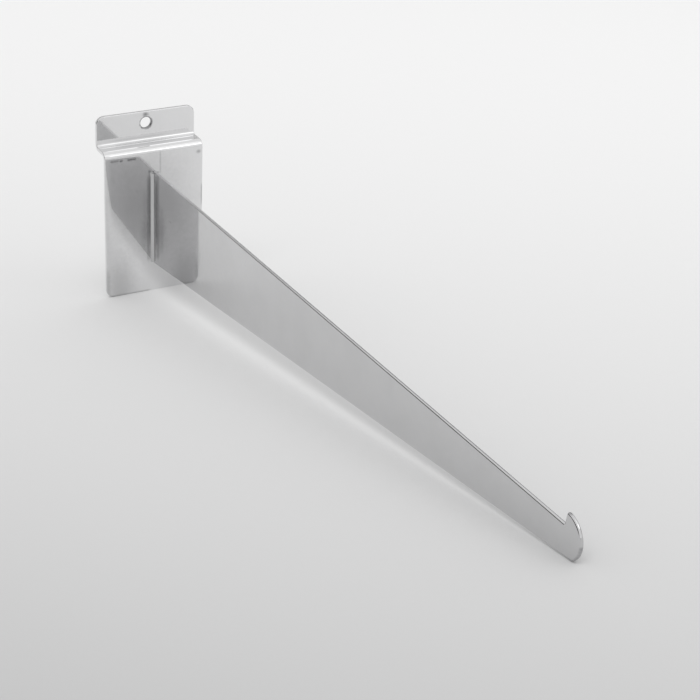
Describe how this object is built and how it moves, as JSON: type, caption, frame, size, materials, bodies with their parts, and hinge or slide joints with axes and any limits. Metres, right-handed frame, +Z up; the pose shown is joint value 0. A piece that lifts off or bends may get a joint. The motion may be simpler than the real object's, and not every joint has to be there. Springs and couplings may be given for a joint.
{
  "type": "slatwall hook",
  "caption": "Chromed slatwall shelf hook: a folded backplate that hangs in the wall's slot, with a long tapered arm welded on edge and an upturned nib at its nose.",
  "frame": {"origin": "on the wall's face, in the middle of the hook's width, at the lower edge of the slot, where the jog's underside rests", "axes": "+X to the right as seen from the front, +Y into the wall, +Z up; the arm reaches out along -Y"},
  "size_m": [0.05, 0.3627, 0.0891],
  "materials": {
    "plate_chrome": "bright chrome plating",
    "arm_chrome": "bright chrome plating",
    "weld_chrome": "chrome plating over a dressed weld"
  },
  "bodies": {
    "root": {"backplate": "plate_chrome", "arm": "arm_chrome", "weld_left": "weld_chrome", "weld_right": "weld_chrome"}
  },
  "joints": []
}
